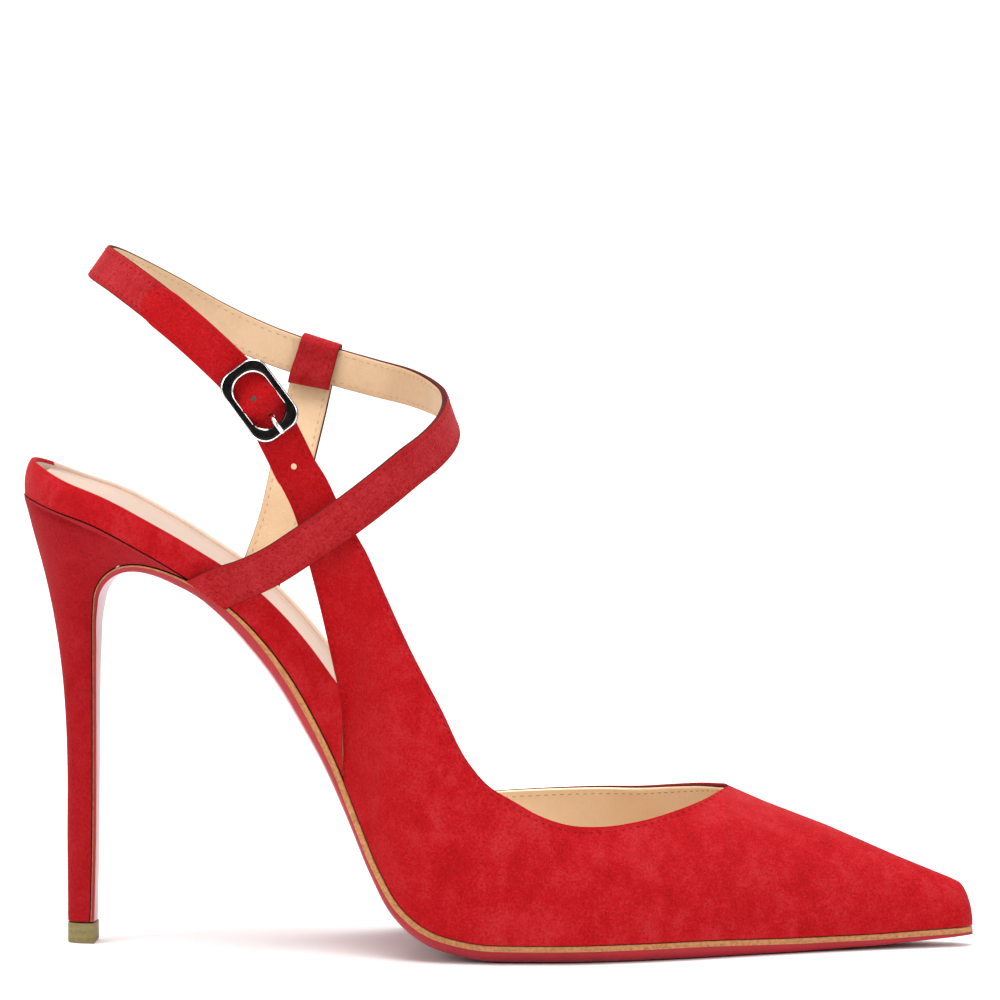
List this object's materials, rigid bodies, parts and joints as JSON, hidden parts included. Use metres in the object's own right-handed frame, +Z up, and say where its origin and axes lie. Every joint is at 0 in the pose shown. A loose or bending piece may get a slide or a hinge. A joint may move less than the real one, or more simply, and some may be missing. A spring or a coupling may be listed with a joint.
{
  "type": "ankle strap pump",
  "caption": "Red suede ankle strap pump for the right foot: pointed closed toe, slim high heel, crossing ankle strap with a dark buckle, glossy red sole.",
  "frame": {"origin": "on the floor, under the middle of the shoe's bounding box", "axes": "+X from the heel to the toe, -Y to the outer side of the right foot, +Z up"},
  "size_m": [0.2158, 0.0754, 0.1591],
  "materials": {
    "upper_suede": "napped suede, bright red",
    "cover_suede": "napped suede, bright red",
    "insole_board": "plain tan board",
    "sock_leather": "smooth pale beige leather",
    "sole_leather": "glossy red leather with a tan edge line",
    "heel_suede": "napped suede, bright red",
    "top_piece": "olive brown, matt",
    "ankle_suede": "napped suede, tan lining",
    "medial_suede": "napped suede, tan lining",
    "buckle_metal": "dark polished gunmetal",
    "prong_metal": "dark polished gunmetal"
  },
  "bodies": {
    "root": {"upper": "upper_suede", "heel_cover": "cover_suede", "insole": "insole_board", "sock": "sock_leather", "outsole": "sole_leather", "heel": "heel_suede", "top_piece": "top_piece", "ankle_strap": "ankle_suede", "medial_strap": "medial_suede", "buckle_frame": "buckle_metal", "buckle_prong": "prong_metal"}
  },
  "joints": []
}
